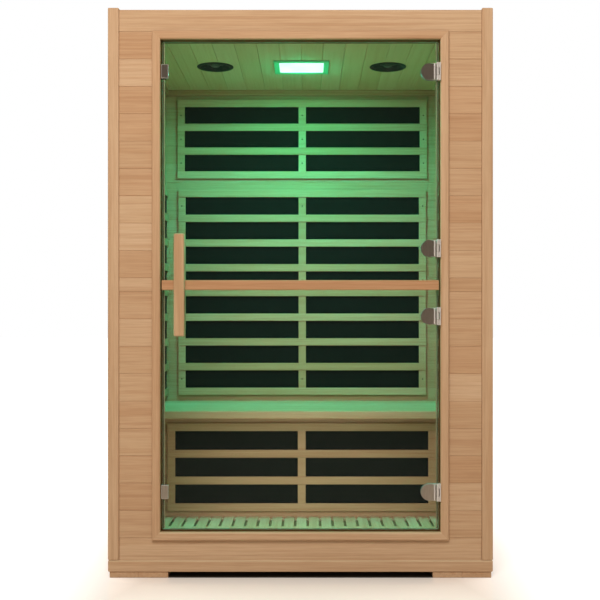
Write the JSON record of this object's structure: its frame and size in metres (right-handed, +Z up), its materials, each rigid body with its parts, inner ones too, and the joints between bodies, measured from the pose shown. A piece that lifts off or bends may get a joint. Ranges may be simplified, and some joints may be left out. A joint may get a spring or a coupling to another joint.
{
  "type": "infrared sauna cabin",
  "caption": "Infrared sauna cabin in pale wood with a hinged glass door, bench, heater panels behind wooden guards, ceiling light and speakers.",
  "frame": {"origin": "centre of the box that holds the closed cabin, on the floor", "axes": "+X to the viewer's right, the door faces -Y, +Z up"},
  "size_m": [1.3, 1.1066, 1.925],
  "materials": {
    "hemlock": "planed and left unvarnished",
    "rose_hemlock": "planed, warmer heartwood",
    "tempered_glass": "clear tempered, polished edges",
    "nickel": "satin nickel plate",
    "carbon_heater": "matt laminate over carbon film",
    "black_plastic": "moulded, fine texture",
    "diffuser": "opal acrylic",
    "zinc_steel": "zinc plated sheet"
  },
  "bodies": {
    "cabin": {"foot_left": "hemlock", "foot_right": "hemlock", "base_plinth": "hemlock", "duckboard": "hemlock", "front_wall_left": "hemlock", "front_wall_right": "hemlock", "front_header": "hemlock", "front_sill": "hemlock", "post_front_left": "hemlock", "post_front_right": "hemlock", "post_back_left": "hemlock", "post_back_right": "hemlock", "side_wall_left": "hemlock", "side_wall_right": "hemlock", "back_wall": "hemlock", "roof_panel": "hemlock", "cornice_back": "hemlock", "cornice_left": "hemlock", "cornice_right": "hemlock", "door_trim_top": "hemlock", "door_trim_bottom": "hemlock", "door_trim_left": "hemlock", "door_trim_right": "hemlock", "upper_back_guard": "hemlock", "lower_back_guard": "hemlock", "calf_guard": "hemlock", "left_guard": "hemlock", "right_guard": "hemlock", "bench_seat": "hemlock", "bench_riser": "hemlock", "bench_ledger": "hemlock", "light_frame": "diffuser", "upper_back_heater": "carbon_heater", "lower_back_heater": "carbon_heater", "calf_heater": "carbon_heater", "left_heater": "carbon_heater", "right_heater": "carbon_heater", "left_speaker": "black_plastic", "right_speaker": "black_plastic", "control_panel": "black_plastic", "power_inlet": "black_plastic", "upper_magnet": "black_plastic", "lower_magnet": "black_plastic", "light_diffuser": "diffuser", "power_unit": "zinc_steel", "hinge_1_frame": "nickel", "hinge_2_frame": "nickel", "hinge_3_frame": "nickel", "hinge_4_frame": "nickel"},
    "door": {"door_glass": "tempered_glass", "door_rail": "rose_hemlock", "door_handle": "rose_hemlock", "inner_door_handle": "rose_hemlock", "hinge_1_clamp": "nickel", "hinge_2_clamp": "nickel", "hinge_3_clamp": "nickel", "hinge_4_clamp": "nickel", "upper_strike": "nickel", "lower_strike": "nickel"}
  },
  "joints": [
    {"name": "door_swing", "type": "hinge", "parent": "cabin", "child": "door", "pos_m": [0.461, -0.5167, 0.998], "axis": [0, 0, 1], "range_deg": [0, 110]}
  ]
}
